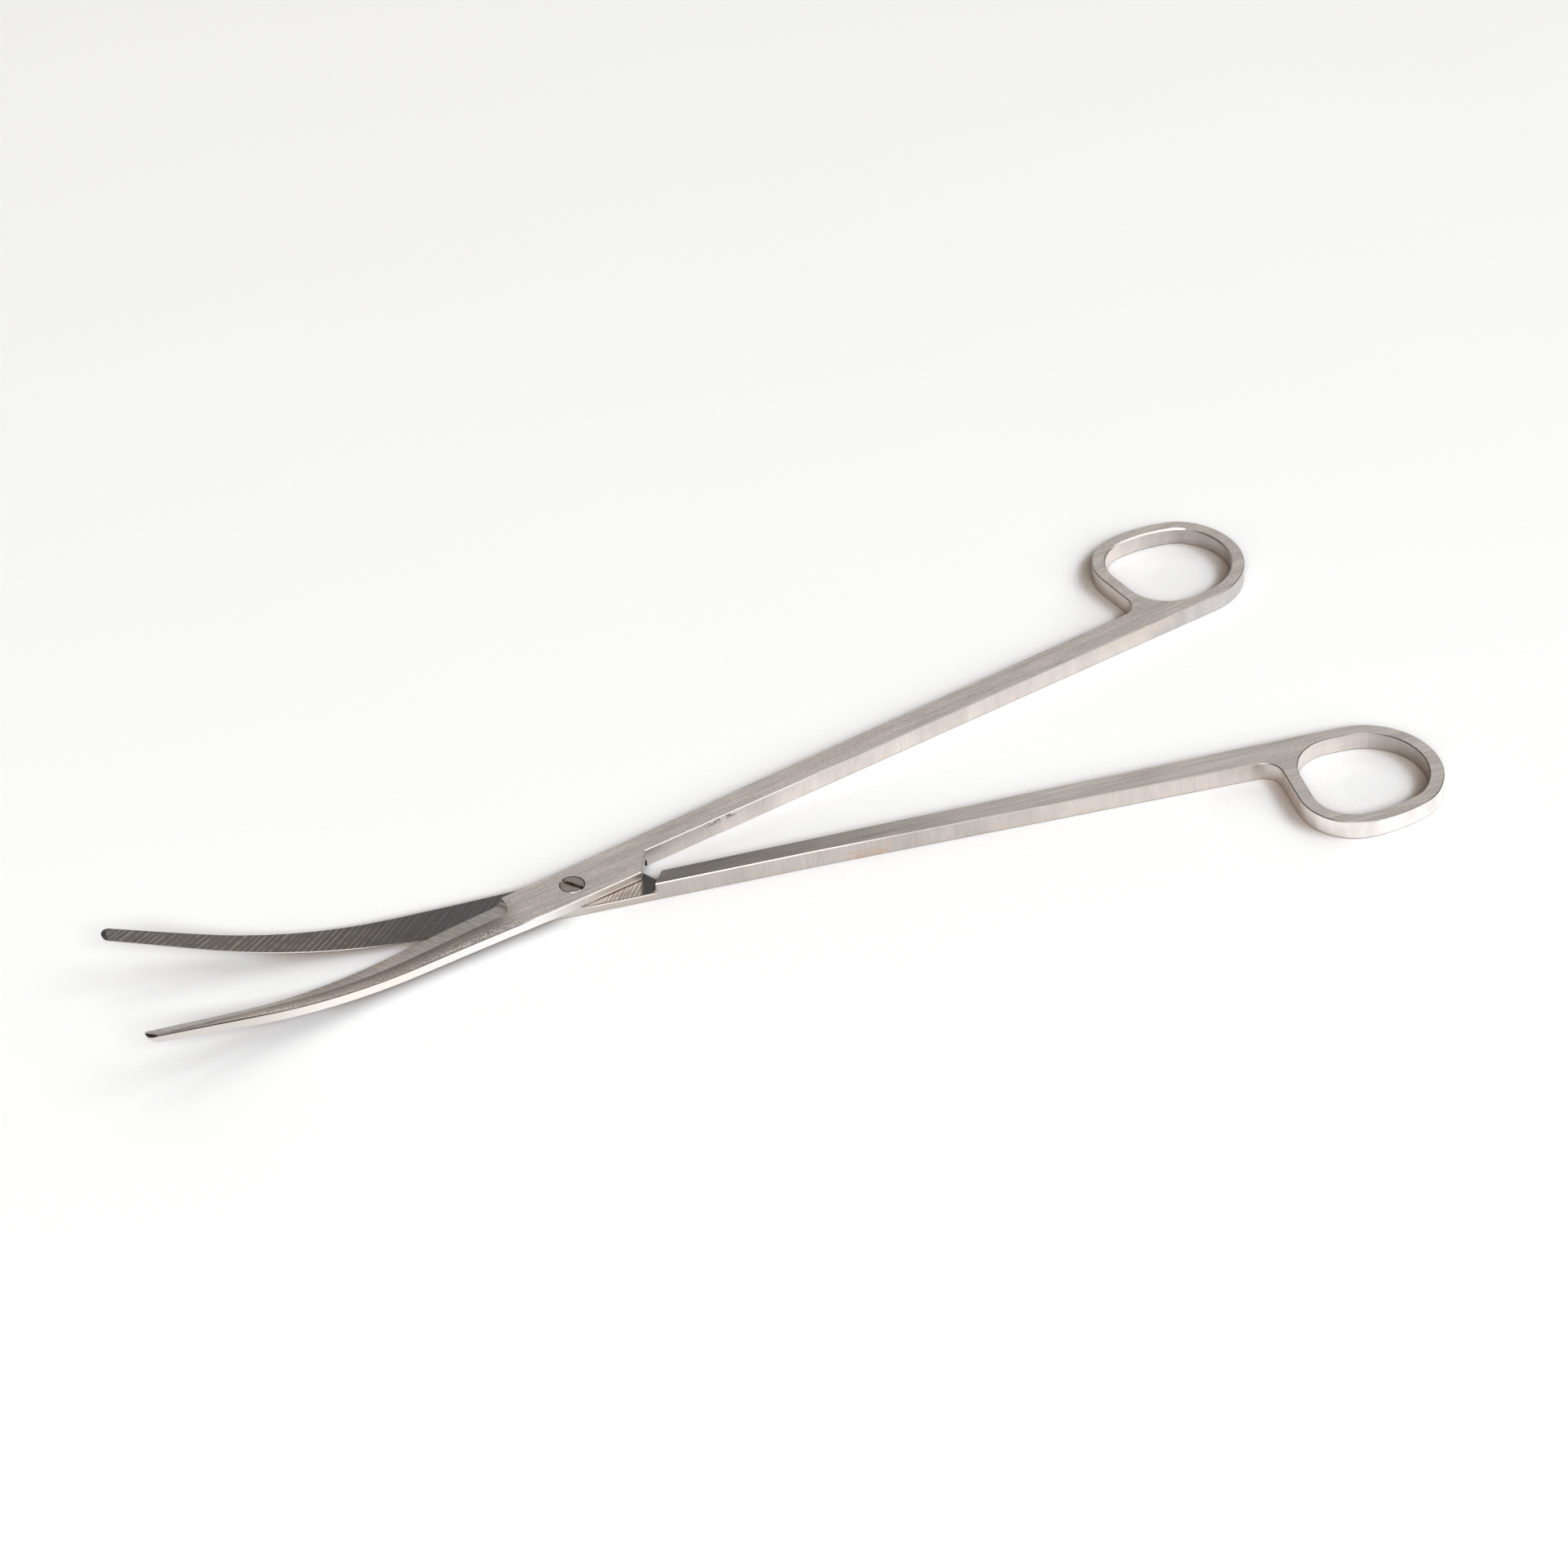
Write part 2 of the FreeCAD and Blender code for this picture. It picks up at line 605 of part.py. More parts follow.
for thing in doc.Objects:
    if {"Invalid", "Error"} & set(thing.State):
        raise RuntimeError(f"{thing.Name} failed: {thing.State}")
os.makedirs("parts", exist_ok=True)
for piece in (upper, lower, screw):
    shape = piece.Shape
    if shape.isNull() or not shape.isValid() or len(shape.Solids) != 1:
        raise RuntimeError(f"{piece.Label} is not one sound solid")
    shape.exportStep(f"parts/{piece.Label}.step")
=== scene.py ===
import math

import bpy
from mathutils import Matrix, Vector


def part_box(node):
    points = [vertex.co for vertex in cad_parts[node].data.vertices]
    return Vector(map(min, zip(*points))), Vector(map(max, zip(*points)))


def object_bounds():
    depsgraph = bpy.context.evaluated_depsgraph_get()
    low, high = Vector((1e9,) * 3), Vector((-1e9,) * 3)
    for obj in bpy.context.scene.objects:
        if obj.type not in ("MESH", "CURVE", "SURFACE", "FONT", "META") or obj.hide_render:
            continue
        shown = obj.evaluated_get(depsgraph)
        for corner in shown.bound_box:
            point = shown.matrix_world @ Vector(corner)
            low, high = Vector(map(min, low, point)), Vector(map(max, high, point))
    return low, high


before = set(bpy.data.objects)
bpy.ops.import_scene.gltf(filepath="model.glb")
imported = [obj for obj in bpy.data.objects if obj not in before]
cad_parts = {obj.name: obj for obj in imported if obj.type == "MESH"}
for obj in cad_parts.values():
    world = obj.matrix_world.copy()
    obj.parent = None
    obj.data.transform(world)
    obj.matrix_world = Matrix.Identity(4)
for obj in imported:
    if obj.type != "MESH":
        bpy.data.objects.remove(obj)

# Long curved scissors in brushed steel, lying open on a white table. The three steel pieces keep
# their CAD meshes. This script gives them their finishes, some parts of which are painted shade and
# painted reflection, and builds the table, with painted shade round the scissors, the light and the
# camera.
#
# Finishes are placed in each half's own frame, in millimetres: x along the handle from the pivot
# (the blade is at negative x), y towards the side where the finger ring stands proud, and z from
# the face that carries the lap recess to the outer face. The upper half lies like that, and the
# lower half is turned over.

CAD_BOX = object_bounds()
MM = 0.001

HALF_OPENING = math.radians(8.9)        # each handle's angle to the row's +X axis
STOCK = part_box("pivot_screw")[1].z / MM         # thickness of the bar, which the screw runs through
TIP = -CAD_BOX[0].x / MM                # distance from the pivot to the blades' tips
REACH = CAD_BOX[1].x / MM               # distance from the pivot to the rings' far ends
RING = 0.83 * REACH                     # distance from the pivot to where the rings begin
RING_MIDDLE = (0.934 * REACH, 0.094 * REACH)    # a finger hole's middle, in a half's own frame
EDGE_START = 13.3                       # distance from the pivot to where the bevel begins
BEVEL_MIDDLE = 60.0                     # distance from the pivot to where the bevel's crest turns
BLADE_BACK = -4.3                       # y of the blade's back
WALL_SLOPE = 0.61                       # how far the shoulder wall leans along x for each y
SHADE_SLOPE = 0.24                      # the same for the edge of the dark patch on the lap
SCRATCH_TURN = math.radians(49.0)       # slant of the scratches on the blade's inner face
HATCH_TURN = math.radians(56.0)         # slant of the hatching on the lap
WAVE_PERIOD = math.tau / 20             # period of Blender's wave texture at a scale of 1

# How rough the kinds of face are. A later one goes over an earlier one where they overlap.
ROUGHNESS = {"upright": 0.30, "lap_side": 0.50, "broken_edge": 0.40, "inner": 0.42, "wall": 0.65}

# Colours, red, green and blue from 0 to 1.
SCREW = (0.35, 0.32, 0.295)
# Painted reflection: the blade's side, near white where it mirrors the white table.
BLADE_SIDE_REFLECTION = (0.97, 0.955, 0.94, 1.0)
# Painted reflection: the lap's side, browned where it mirrors the lap's dark floor.
LAP_SIDE_REFLECTION = (0.67, 0.61, 0.565, 1.0)
LAP_FLOOR = (0.42, 0.36, 0.31)
LAP_HATCHING = (0.90, 0.86, 0.82)
# Painted shade: the tip's end facet, near black.
TIP_FACET_SHADE = (0.08, 0.075, 0.07)
RING_OUTSIDE = (1.0, 0.955, 0.925)
RING_INSIDE = (1.0, 0.93, 0.88)
BLADE_WARMTH = (1.0, 0.955, 0.925)
PAPER = (0.93, 0.93, 0.925)
PALER_PAPER = (0.95, 0.95, 0.95)
RING_SHADE = (0.70, 0.69, 0.69)
CONTACT_SHADE = (0.36, 0.29, 0.24)
DIM_ROOM = (0.13, 0.112, 0.096, 1.0)
PALE_WALL = (0.67, 0.65, 0.63, 1.0)
DAYLIGHT = (0.98, 1.0, 1.02)

LIGHT_SIDE = -60.0          # azimuth between the two lights
LIGHT_DISTANCE = 4.0        # metres from the pivot to each light
PALE_WALL_SIDE = (62.0, 32.0)   # azimuth and elevation of the middle of the room's pale wall
TABLE_REACH = 4.0           # metres from the pivot to the table's edges

CAMERA_LENS = 96.37         # millimetres, on a 36 mm sensor
CAMERA_AIM = (0.04869, 0.01339, 0.0)
CAMERA_DISTANCE = 0.79809   # metres from the aim
CAMERA_AZIMUTH = 67.567     # degrees, the way that the camera looks
CAMERA_HEIGHT = 38.54       # degrees above the table
CAMERA_ROLL = -3.133        # degrees


# What sets the two halves' finishes apart. shoulder is the distance from the pivot to the shoulder
# wall. bar, side and ground are the colours of the top, of the sides and of the lap's faces. fade is
# how bright the bar's top is next to the shoulder, a painted shade. The side is dimmed from
# side_dims[0] back to the blade by side_dims[2], and is at its full brightness beyond side_dims[1].
# ring_side, rim and edge are how bright the finger ring's outside, its hole's rim and the bar's
# broken edges are; the rim and the edges are darkened as painted shade. A stain has its start and end
# along the bar, the height that it starts at, and a colour.
UPPER = {
    "turned_over": False, "shoulder": 16.5, "fade": 1.0,
    "bar": (0.66, 0.62, 0.585), "side": (0.735, 0.685, 0.645), "ground": (0.20, 0.195, 0.19),
    "side_dims": (16.5, 55.0, 0.84), "ring_side": 0.60, "rim": 0.9, "edge": 0.95,
    "stains": [(28.5, 37.0, 2.5, (0.22, 0.20, 0.18)), (120.0, 142.0, 1.6, (0.74, 0.64, 0.56))],
}
LOWER = {
    "turned_over": True, "shoulder": 17.5, "fade": 0.4,
    "bar": (0.67, 0.63, 0.60), "side": (0.70, 0.65, 0.61), "ground": (0.20, 0.195, 0.19),
    "side_dims": (60.0, 110.0, 0.82), "ring_side": 0.95, "rim": 0.25, "edge": 0.6,
    "stains": [(50.0, 60.0, 1.6, (0.60, 0.46, 0.36))],
}


class Shader:
    """A material's node tree, with short names for the nodes that the finishes are built from."""

    def __init__(self, name):
        self.material = bpy.data.materials.new(name)
        self.material.use_nodes = True
        self.tree = self.material.node_tree
        self.surface = self.tree.nodes["Principled BSDF"]

    def node(self, kind, inputs=None, output=0, **settings):
        """Add a node and return one of its outputs. An input is a number, a tuple or an output."""
        made = self.tree.nodes.new("ShaderNode" + kind)
        for key, setting in settings.items():
            setattr(made, key, setting)
        for key, given in (inputs or {}).items():
            self.feed(made.inputs[key], given)
        return made.outputs[output]

    def feed(self, socket, given):
        if isinstance(given, bpy.types.NodeSocket):
            self.tree.links.new(given, socket)
        else:
            socket.default_value = given

    def finish(self, **surface):
        """Give the surface its inputs, where an underscore stands for a space, and return the
        material."""
        for key, given in surface.items():
            self.feed(self.surface.inputs[key.replace("_", " ")], given)
        return self.material

    def calc(self, operation, first, second=0.0):
        return self.node("Math", {0: first, 1: second}, operation=operation)

    def both(self, first, *others):
        """Where masks overlap, or the product of numbers."""
        for other in others:
            first = self.calc("MULTIPLY", first, other)
        return first

    def without(self, mask):
        return self.calc("SUBTRACT", 1.0, mask)

    def step(self, given, low, high, to_low=0.0, to_high=1.0):
        """A smooth step from to_low, at low, to to_high, at high. It runs down if low > high."""
        if low > high:
            low, high, to_low, to_high = high, low, to_high, to_low
        inputs = {"Value": given, "From Min": low, "From Max": high,
                  "To Min": to_low, "To Max": to_high}
        return self.node("MapRange", inputs, interpolation_type="SMOOTHSTEP")

    def mix(self, amount, first, second):
        """A colour between first, at 0, and second, at 1."""
        inputs = {0: amount, 6: (*first, 1.0) if isinstance(first, tuple) else first,
                  7: (*second, 1.0) if isinstance(second, tuple) else second}
        return self.node("Mix", inputs, output=2, data_type="RGBA")

    def blend(self, amount, first, second):
        """A number between first, at 0, and second, at 1."""
        return self.node("Mix", {0: amount, 2: first, 3: second}, data_type="FLOAT")

    def times(self, colour, other):
        """A colour times another colour."""
        return self.node("Mix", {0: 1.0, 6: colour, 7: other}, output=2, data_type="RGBA",
                         blend_type="MULTIPLY")

    def tint(self, colour, brightness):
        """A colour times a number."""
        grey = self.node("CombineColor", {0: brightness, 1: brightness, 2: brightness})
        return self.times(colour, grey)

    def noise(self, place, per_mm, detail=2.0, turn=0.0, rough=0.5):
        """Noise from 0 to 1 with so many features per millimetre along x, y and z, after the
        place is turned about z. Unequal numbers make streaks."""
        turned = self.node("Mapping", {"Vector": place, "Rotation": (0.0, 0.0, turn)})
        scaled = self.node("Mapping", {"Vector": turned, "Scale": per_mm})
        inputs = {"Vector": scaled, "Scale": 1.0, "Detail": detail, "Roughness": rough}
        return self.node("TexNoise", inputs)

    def lines(self, place, spacing, turn, wander):
        """Lines from 0 to 1 that run along x, so many millimetres apart, after the place is turned
        about z. They are unevenly spaced where wander is large."""
        turned = self.node("Mapping", {"Vector": place, "Rotation": (0.0, 0.0, turn)})
        drawn_out = self.node("Mapping", {"Vector": turned, "Scale": (0.03, 1.0, 0.03)})
        inputs = {"Vector": drawn_out, "Scale": WAVE_PERIOD / spacing, "Distortion": wander,
                  "Detail": 2.0, "Detail Scale": 1.0}
        return self.node("TexWave", inputs, output=1, wave_type="BANDS", bands_direction="Y")

    def bump(self, height, strength, depth):
        """The normal of a surface with small bumps, so many millimetres deep."""
        return self.node("Bump", {"Height": height, "Strength": strength, "Distance": depth * MM})

    def split(self, vector):
        parts = self.tree.nodes.new("ShaderNodeSeparateXYZ")
        self.tree.links.new(vector, parts.inputs[0])
        return tuple(parts.outputs)


def half_frame(s, turned_over):
    """The place on a half in its own frame, in millimetres, and the surface's normal there."""
    flip = -1.0 if turned_over else 1.0
    turn = (0.0, 0.0, -HALF_OPENING)
    place = s.node("TexCoord", output=3)
    place = s.node("Mapping", {"Vector": place, "Scale": (1 / MM, flip / MM, flip / MM),
                               "Location": (0.0, 0.0, STOCK if turned_over else 0.0),
                               "Rotation": turn})
    normal = s.node("NewGeometry", output=3)
    normal = s.node("VectorTransform", {"Vector": normal}, vector_type="NORMAL",
                    convert_from="WORLD", convert_to="OBJECT")
    normal = s.node("Mapping", {"Vector": normal, "Scale": (1.0, flip, flip), "Rotation": turn},
                    vector_type="VECTOR")
    return place, normal


def to_line(s, x, y, start, slope):
    """How far a point is from a line across the bar, towards the pivot. The line crosses the
    handle's line at start and leans by slope."""
    return s.calc("SUBTRACT", start, s.calc("ADD", x, s.calc("MULTIPLY", y, slope)))


def in_hole(s, x, y, nx, ny):
    """Whether a point near the ring faces the finger hole's middle."""
    away_x = s.both(s.calc("SUBTRACT", x, RING_MIDDLE[0]), nx)
    away_y = s.both(s.calc("SUBTRACT", y, RING_MIDDLE[1]), ny)
    return s.both(s.step(s.calc("ADD", away_x, away_y), 0.5, -0.5), s.step(x, RING, RING + 1))


def half_areas(s, place, normal, shoulder):
    """Masks that are 1 on a kind of face and 0 elsewhere, from the place and which way the
    surface faces."""
    x, y, _ = s.split(place)
    nx, ny, nz = s.split(normal)
    steepness = s.calc("ABSOLUTE", nz)
    flat = s.step(steepness, 0.88, 0.94)
    upright = s.step(steepness, 0.35, 0.2)
    past_wall = s.step(to_line(s, x, y, shoulder, WALL_SLOPE), -0.1, 0.1)
    bevel = s.both(s.step(ny, 0.15, 0.22), s.step(nz, 0.4, 0.6), s.step(x, -12.0, -12.5))
    return {
        "flat": flat,
        "upright": upright,
        "bevel": bevel,
        "inner": s.both(s.step(nz, -0.6, -0.8), past_wall),
        "outer_blade": s.both(s.step(x, -10.0, -18.0), s.step(nz, 0.7, 0.9)),
        "wall": s.both(s.step(nx, -0.5, -0.7), s.step(x, 7.0, 8.0), s.step(x, 30.0, 29.0)),
        "blade_side": s.both(upright, s.step(x, 2.0, -12.0)),
        "lap_side": s.both(upright, s.step(x, shoulder - 2, shoulder - 4), s.step(x, 0.0, 4.0)),
        "broken_edge": s.both(s.without(flat), s.without(upright), s.without(bevel)),
        "tip_facet": s.both(s.step(nx, -0.1, -0.2), s.step(nz, 0.6, 0.8),
                            s.step(x, 2.0 - TIP, 1.0 - TIP)),
        "hole": in_hole(s, x, y, nx, ny),
        "ring": s.step(x, RING, RING + 4),
    }


def across_face(s, x, y):
    """On the outer face of a blade: how far a point is from the bevel's crest, as a share of the
    way to the blade's back."""
    root = s.step(x, -EDGE_START, -BEVEL_MIDDLE, 0.05, -1.4)
    crest = s.calc("ADD", root, s.step(x, -BEVEL_MIDDLE, -TIP, 0.0, -2.4))
    return s.calc("DIVIDE", s.calc("SUBTRACT", crest, y), s.calc("SUBTRACT", crest, BLADE_BACK))


def bar_tone(s, half, place, areas):
    """Brushing along the bar, patchy, with a painted shade that dims the bar's top near the shoulder,
    and a painted shading of the outer face of the blade for its rounding: dark next to the bevel,
    flecked towards the back. The brushing's lines come with it."""
    x, y, _ = s.split(place)
    shoulder = half["shoulder"]
    brushed = s.noise(place, (0.06, 2.6, 1.0), 5.0, math.radians(2.0), 0.7)
    patches = s.noise(place, (0.07, 0.35, 0.3), 3.0)
    grain = s.noise(place, (2.5, 3.5, 2.5), 3.0, 0.0, 0.7)
    tone = s.both(s.step(brushed, 0.3, 0.7, 0.82, 1.15), s.step(patches, 0.3, 0.7, 0.92, 1.07),
                  s.step(grain, 0.3, 0.7, 0.86, 1.14))
    # Painted shade: the bar's top is dimmed next to the shoulder.
    along = s.blend(s.step(x, shoulder, 95.0), half["fade"], 1.0)
    along = s.blend(s.step(x, shoulder - 3, shoulder - 2), 1.0, along)
    across = across_face(s, x, y)
    # Painted shading: the blade's outer face is darker next to the bevel and near the root, standing
    # in for the light across its rounding.
    rounding_shade = s.both(s.step(across, 0.0, 0.7, 0.5, 0.9), s.step(x, -30.0, -55.0, 0.66, 0.96))
    flecks = s.both(s.step(grain, 0.3, 0.72, -0.25, 0.6), s.step(across, 0.3, 0.8))
    blade = s.blend(areas["outer_blade"], 1.0, s.calc("ADD", rounding_shade, flecks))
    return s.both(tone, along, blade), brushed


def side_finish(s, half, place, nx, areas):
    """The sides' colour: upright streaks on the bar, lines round the finger hole with a painted shade
    on the hole's wall towards the ring's far end, two bands of painted reflection and a painted
    shadow of the gap on the lap, a blade side painted pale as a reflection of the white table, and
    stains. The streaks come with it."""
    x, _, z = s.split(place)
    upright_streaks = s.noise(place, (2.5, 2.5, 0.2), 3.0, 0.0, 0.6)
    round_lines = s.noise(place, (0.15, 0.15, 2.5), 4.0, 0.0, 0.6)
    broad = s.noise(place, (0.25, 0.25, 0.1), 2.0)
    streaks = s.blend(areas["ring"], upright_streaks, s.blend(areas["hole"], broad, round_lines))
    dim_from, dim_to, dimmed = half["side_dims"]
    tone = s.both(s.step(streaks, 0.25, 0.75, 0.93, 1.05), s.step(broad, 0.3, 0.7, 0.93, 1.05),
                  s.step(x, dim_from, dim_to, dimmed, 1.0))

    # Painted shade: the hole's wall darkens towards the ring's far end.
    hole_wall_shade = s.step(nx, 0.1, -0.7, 0.80, 0.50)
    ring_tone = s.blend(areas["hole"], half["ring_side"], hole_wall_shade)
    ring_colour = s.tint(s.mix(areas["hole"], RING_OUTSIDE, RING_INSIDE), ring_tone)
    colour = s.tint(s.mix(areas["ring"], half["side"], ring_colour), tone)

    # Painted reflection and shadow on the lap's side: a lighter band near its edge at the gap, a
    # darker band beyond, and a painted shadow in the gap along that edge.
    lap_reflection_bands = s.blend(s.step(z, 2.55, 2.35), 0.85, 1.35)
    gap_shadow = s.step(z, 2.08, 2.16, 0.15, 1.0)
    colour = s.mix(areas["lap_side"], colour, s.tint(LAP_SIDE_REFLECTION, s.both(lap_reflection_bands, gap_shadow)))
    # Painted reflection: the blade's side is painted near white, dimming towards the tip.
    blade_reflection_tone = s.step(x, -50.0, -72.0, 1.0, 0.74)
    colour = s.mix(areas["blade_side"], colour, s.tint(BLADE_SIDE_REFLECTION, blade_reflection_tone))
    for stain in half["stains"]:
        colour = add_stain(s, colour, place, *stain)
    return colour, streaks


def add_stain(s, colour, place, start, end, low, stain):
    """A blotchy stain on a side, from start to end along the bar and above the height low."""
    x, _, z = s.split(place)
    blotches = s.noise(place, (0.9, 0.9, 1.6), 3.0, 0.0, 0.6)
    middle = (start + end) / 2
    half_length = (end - start) / 2
    off = s.calc("ABSOLUTE", s.calc("SUBTRACT", x, middle))
    area = s.both(s.step(off, half_length, 0.6 * half_length), s.step(z, low, low + 0.5))
    return s.mix(s.both(area, s.step(blotches, 0.42, 0.58)), colour, stain)


def bevel_finish(s, bar, place, x):
    """The bevel's brightness in the bar's colour, with a painted shade towards the tip, and the lines
    that cross it.
    """
    lines = s.noise(place, (2.0, 0.2, 0.3), 3.0, math.radians(-8.0), 0.6)
    # The last factor is painted shade: the bevel darkens towards the tip.
    tone = s.both(s.step(lines, 0.3, 0.7, 0.58, 0.88), s.step(x, -20.0, -42.0, 0.8, 1.12),
                  s.step(x, -50.0, -68.0, 1.0, 0.76))
    return s.tint(bar, tone), lines


def ground_finish(s, half, place):
    """The blade's inner face and the lap's floor: dark, with slanting bright scratches that are close
    and even on the lap, and loose and fine on the blade. The floor next to the shoulder is painted
    dark as the shade of the upper half's lap, and the inner face gets a painted shade at the tip's
    end. The scratches come with it."""
    x, y, _ = s.split(place)
    ground = (*half["ground"], 1.0)
    on_lap = s.step(x, 0.0, 3.0)

    worn = s.noise(place, (0.3, 0.7, 0.3), 2.0)
    loose = s.both(s.step(s.lines(place, 1.0, SCRATCH_TURN, 6.0), 0.6, 0.95),
                   s.step(x, -25.0, -50.0, 0.15, 0.75), s.step(worn, 0.35, 0.6, 0.25, 1.0), 0.45)
    worn = s.noise(place, (0.2, 0.6, 0.3), 2.0)
    even = s.both(s.step(s.lines(place, 0.68, HATCH_TURN, 4.0), 0.3, 0.8, 0.12, 0.88),
                  s.step(worn, 0.35, 0.6, 0.5, 1.0))
    even = s.blend(s.step(x, 4.0, 6.5), 0.6, even)
    scratches = s.blend(on_lap, loose, even)

    fine = s.noise(place, (0.1, 3.5, 0.3), 3.0, math.radians(46.0), 0.6)
    tone = s.both(s.step(fine, 0.3, 0.7, 0.85, 1.15), s.step(x, -20.0, -75.0, 0.70, 1.0))
    below = s.mix(on_lap, s.tint(ground, tone), LAP_FLOOR)
    colour = s.mix(scratches, below, s.mix(on_lap, half["bar"], LAP_HATCHING))
    # Painted shade: the floor next to the shoulder, where the upper half's lap shades it, is painted
    # dark.
    to_corner = to_line(s, x, y, half["shoulder"], SHADE_SLOPE)
    lap_corner_shade = s.both(s.step(to_corner, 5.0, 4.0), s.step(x, 8.0, 9.0))
    colour = s.mix(lap_corner_shade, colour, s.tint(ground, 0.55))
    # Painted shade: the inner face darkens over the last millimetre at the tip's end.
    tip_end_shade = s.step(x, 1.0 - TIP, 0.6 - TIP, 1.0, 0.4)
    return s.tint(colour, tip_end_shade), s.blend(0.4, fine, scratches)


def steel_half(name, half):
    """Brushed steel for one half: brushed along the bar, streaked across its sides, turned round the
    finger hole, and ground across the bevel and the inner face. Some of its tones are painted shade
    and painted reflection."""
    s = Shader(name)
    place, normal = half_frame(s, half["turned_over"])
    x = s.split(place)[0]
    nx = s.split(normal)[0]
    areas = half_areas(s, place, normal, half["shoulder"])
    bar = (*half["bar"], 1.0)

    tone, brushed = bar_tone(s, half, place, areas)
    side_colour, streaks = side_finish(s, half, place, nx, areas)
    bevel_colour, bevel_lines = bevel_finish(s, bar, place, x)
    ground_colour, scratches = ground_finish(s, half, place)
    # Painted shade: the broken edges and the hole's rim are painted darker, most of all on the blade,
    # so that they glint less.
    painted_edge_shade = s.both(s.step(x, -14.0, -10.0, 0.22, half["edge"]), s.step(x, 45.0, 65.0, 1.0, 0.6))
    painted_edge_shade = s.blend(areas["hole"], painted_edge_shade, half["rim"])

    colour = s.mix(areas["upright"], s.tint(bar, tone), side_colour)
    colour = s.mix(areas["broken_edge"], colour, s.tint(bar, painted_edge_shade))
    colour = s.mix(areas["bevel"], colour, bevel_colour)
    colour = s.mix(areas["inner"], colour, ground_colour)
    # Painted shade: the shoulder wall in the lap's corner is painted darker than the ground.
    colour = s.mix(areas["wall"], colour, s.tint((*half["ground"], 1.0), 0.5))
    colour = s.times(colour, s.mix(s.step(x, -20.0, -40.0), (1.0, 1.0, 1.0), BLADE_WARMTH))
    # Painted shade: the tip's end facet is painted near black.
    colour = s.mix(areas["tip_facet"], colour, TIP_FACET_SHADE)

    roughness = s.step(brushed, 0.25, 0.75, 0.30, 0.38)
    for area, rough in ROUGHNESS.items():
        roughness = s.blend(areas[area], roughness, rough)

    height = s.blend(areas["flat"], s.blend(areas["upright"], 0.5, streaks), brushed)
    height = s.blend(areas["bevel"], height, bevel_lines)
    height = s.blend(areas["inner"], height, scratches)
    return s.finish(Base_Color=colour, Metallic=1.0, Roughness=roughness,
                    Normal=s.bump(height, 0.35, 0.02))


def steel_screw(name):
    """The screw's darker steel, with rings left by turning."""
    s = Shader(name)
    place = s.node("TexCoord", output=3)
    place = s.node("Mapping", {"Vector": place, "Scale": (1 / MM, 1 / MM, 1 / MM)})
    x, y, _ = s.split(place)
    away = s.calc("SQRT", s.calc("ADD", s.calc("POWER", x, 2.0), s.calc("POWER", y, 2.0)))
    rings = s.node("TexNoise", {"W": away, "Scale": 6.0, "Detail": 3.0}, noise_dimensions="1D")
    smear = s.noise(place, (0.8, 0.8, 0.8), 3.0)
    tone = s.both(s.step(rings, 0.3, 0.7, 0.8, 1.1), s.step(smear, 0.3, 0.7, 0.85, 1.15))
    return s.finish(Base_Color=s.tint((*SCREW, 1.0), tone), Metallic=1.0,
                    Roughness=s.step(smear, 0.3, 0.7, 0.28, 0.4),
                    Normal=s.bump(rings, 0.3, 0.02))


def finish_node(node, material):
    """Put one material in every slot of a CAD node."""
    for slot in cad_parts[node].material_slots:
        slot.material = material


def open_air(s, reach, elevation):
    """How much of the air around a point, as far as reach in millimetres, is open towards the
    lights' side. An elevation of 90 asks about the air overhead."""
    lit_side = s.node("CombineXYZ", dict(enumerate(towards(LIGHT_SIDE, elevation))))
    return s.node("AmbientOcclusion", {"Distance": reach * MM, "Normal": lit_side}, output=1,
                  samples=8)


def table_paper():
    """White paper with a slight grain, and painted shade: a warm brown close to the scissors on their
    shaded side, and a little grey inside the finger rings."""
    s = Shader("table_white")
    place = s.node("TexCoord", output=3)
    mottle = s.node("TexNoise", {"Vector": place, "Scale": 9.0, "Detail": 2.0})
    fibres = s.node("TexNoise", {"Vector": place, "Scale": 0.7 / MM, "Detail": 3.0})
    close = open_air(s, 4.2, 20.0)
    wide = open_air(s, 16.0, 34.0)
    over = open_air(s, 16.0, 90.0)
    # Painted shade: the paper is greyed inside the finger rings and browned close to the scissors.
    ring_shade_amount = s.both(s.step(wide, 0.96, 0.80), s.step(over, 0.96, 0.89))
    colour = s.mix(mottle, PAPER, PALER_PAPER)
    colour = s.mix(ring_shade_amount, colour, RING_SHADE)
    colour = s.mix(s.step(close, 0.90, 0.58), colour, CONTACT_SHADE)
    return s.finish(Base_Color=colour, Roughness=0.8, Specular_IOR_Level=0.1,
                    Normal=s.bump(fibres, 0.12, 0.3))


def white_table():
    """A wide flat table at the object's foot."""
    drop = CAD_BOX[0].z
    signs = ((-1, -1), (1, -1), (1, 1), (-1, 1))
    corners = [(x * TABLE_REACH, y * TABLE_REACH, drop) for x, y in signs]
    mesh = bpy.data.meshes.new("table")
    mesh.from_pydata(corners, [], [(0, 1, 2, 3)])
    mesh.materials.append(table_paper())
    table = bpy.data.objects.new("table", mesh)
    bpy.context.scene.collection.objects.link(table)


def towards(azimuth, elevation):
    """The unit vector that points to an azimuth and elevation, in degrees, in the row frame."""
    a = math.radians(azimuth)
    e = math.radians(elevation)
    return Vector((math.cos(a) * math.cos(e), math.sin(a) * math.cos(e), math.sin(e)))


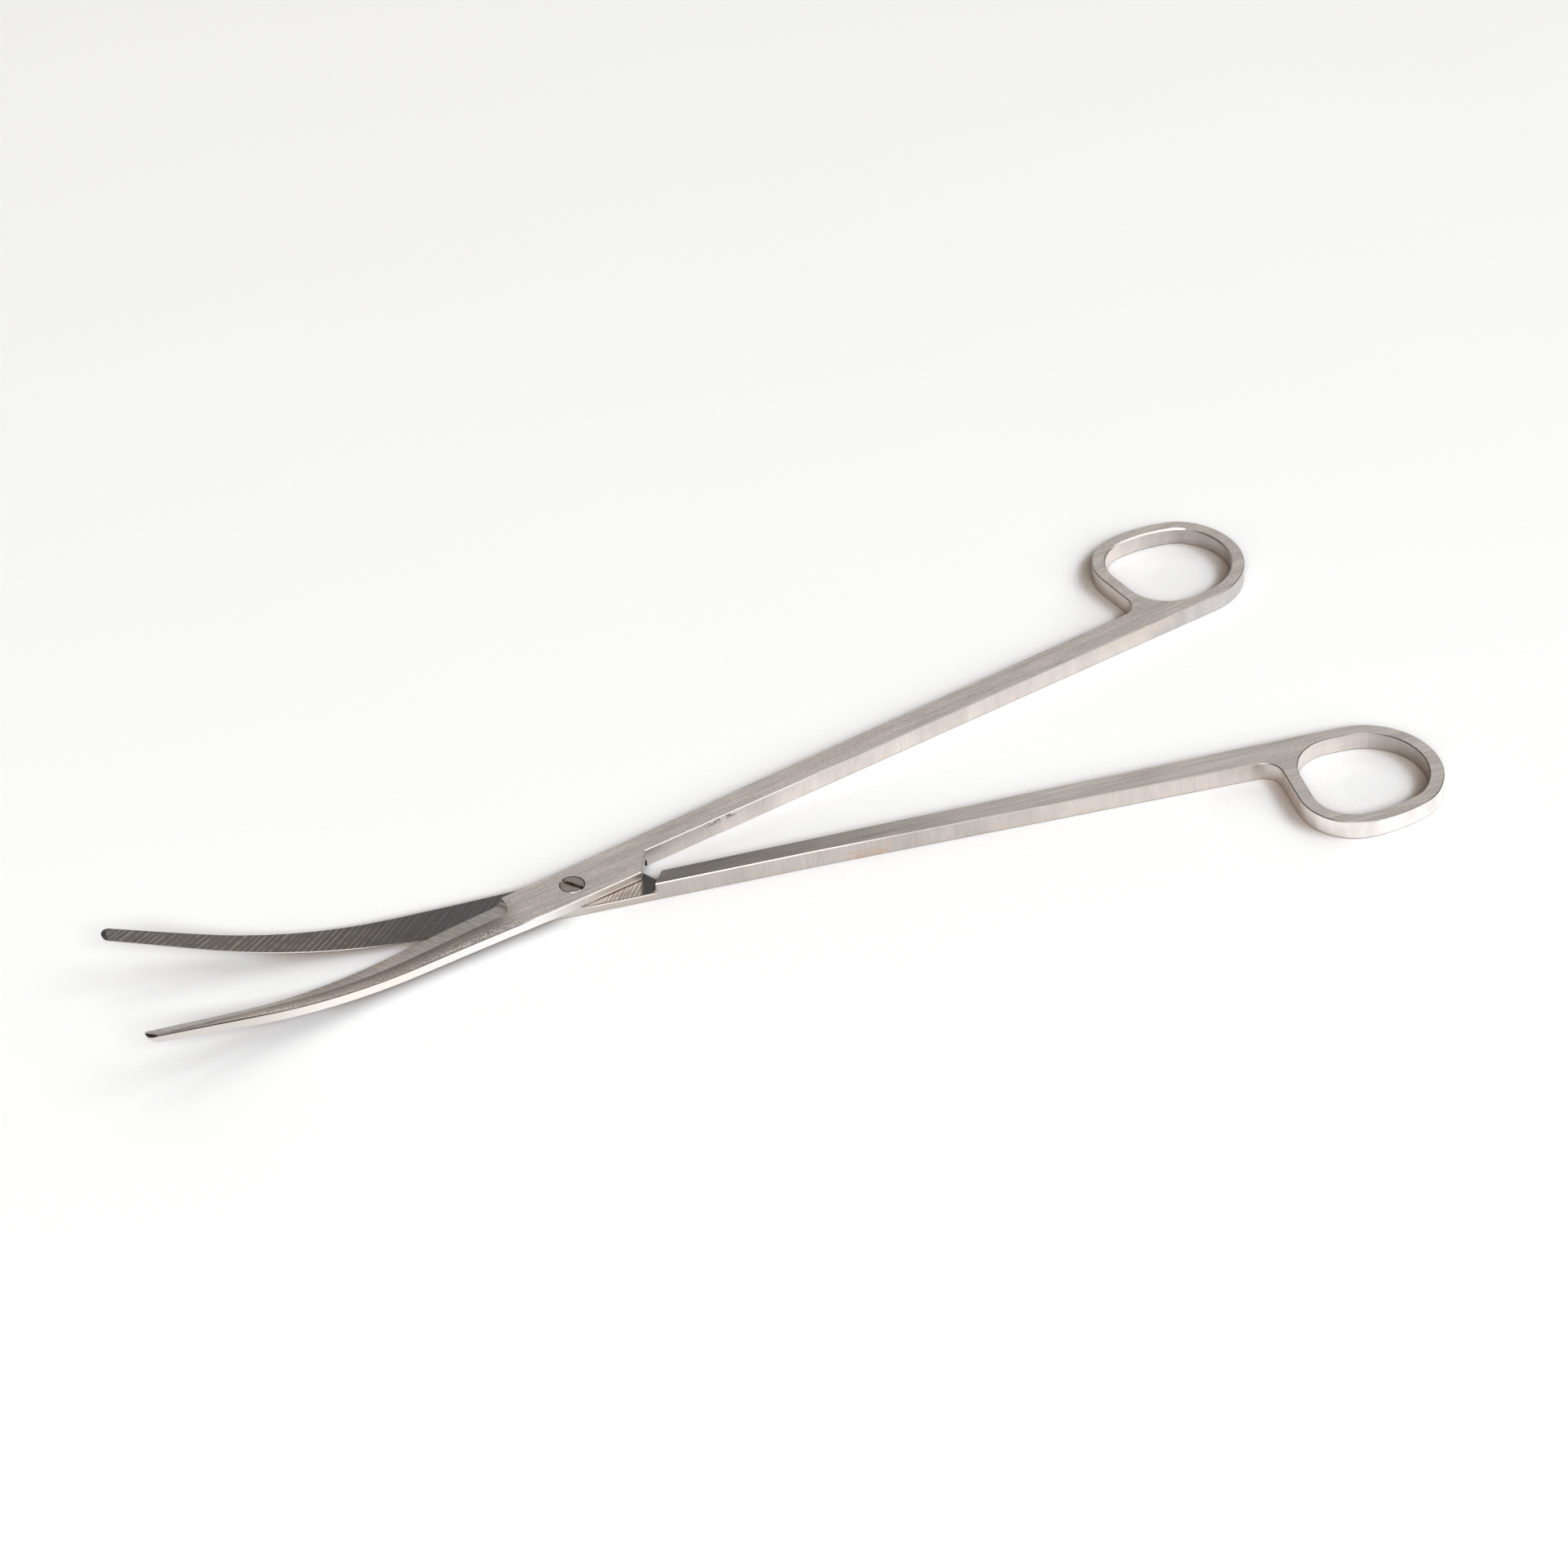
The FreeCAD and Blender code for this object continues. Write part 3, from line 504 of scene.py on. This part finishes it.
def soft_room():
    """A dim room with one pale wall behind the scissors, which their top faces reflect."""
    world = bpy.data.worlds.new("soft_room")
    world.use_nodes = True
    tree = world.node_tree
    direction = tree.nodes.new("ShaderNodeTexCoord")
    facing = tree.nodes.new("ShaderNodeVectorMath")
    facing.operation = "DOT_PRODUCT"
    facing.inputs[1].default_value = towards(*PALE_WALL_SIDE)
    ramp = tree.nodes.new("ShaderNodeValToRGB")
    tree.links.new(direction.outputs["Generated"], facing.inputs[0])
    tree.links.new(facing.outputs["Value"], ramp.inputs[0])
    tree.links.new(ramp.outputs[0], tree.nodes["Background"].inputs["Color"])
    away, towards_wall = ramp.color_ramp.elements
    away.position = 0.45
    away.color = DIM_ROOM
    towards_wall.position = 0.90
    towards_wall.color = PALE_WALL
    bpy.context.scene.world = world


def area_light(name, azimuth, elevation, width, height, brightness):
    """A soft light that faces the pivot and looks width by height degrees large from there.
    brightness is what it gives to a white table."""
    light = bpy.data.lights.new(name, "AREA")
    light.color = DAYLIGHT
    light.shape = "RECTANGLE"
    light.size = 2 * LIGHT_DISTANCE * math.tan(math.radians(width) / 2)
    light.size_y = 2 * LIGHT_DISTANCE * math.tan(math.radians(height) / 2)
    light.energy = brightness * (math.pi * LIGHT_DISTANCE) ** 2 / math.sin(math.radians(elevation))
    lamp = bpy.data.objects.new(name, light)
    away = towards(azimuth, elevation)
    lamp.location = away * LIGHT_DISTANCE
    lamp.rotation_euler = away.to_track_quat("Z", "Y").to_euler()
    bpy.context.scene.collection.objects.link(lamp)


def main_camera():
    """The camera: a long lens that looks down on the scissors from in front, a little rolled."""
    data = bpy.data.cameras.new("main_camera")
    data.sensor_width = 36.0
    data.lens = CAMERA_LENS
    data.clip_start = 0.01
    camera = bpy.data.objects.new("main_camera", data)
    away = towards(CAMERA_AZIMUTH + 180.0, CAMERA_HEIGHT)
    level = away.to_track_quat("Z", "Y").to_matrix().to_4x4()
    roll = Matrix.Rotation(math.radians(CAMERA_ROLL), 4, "Z")
    place = Matrix.Translation(Vector(CAMERA_AIM) + away * CAMERA_DISTANCE)
    camera.matrix_world = place @ level @ roll
    bpy.context.scene.collection.objects.link(camera)
    bpy.context.scene.camera = camera


finish_node("upper_half", steel_half("upper_brushed_steel", UPPER))
finish_node("lower_half", steel_half("lower_brushed_steel", LOWER))
finish_node("pivot_screw", steel_screw("screw_steel"))
white_table()
soft_room()
area_light("front_light", azimuth=-107.0, elevation=39.0, width=40.0, height=14.0, brightness=0.68)
area_light("right_light", azimuth=-35.0, elevation=46.0, width=34.0, height=28.0, brightness=0.18)
main_camera()
bpy.context.scene.view_settings.view_transform = "Standard"
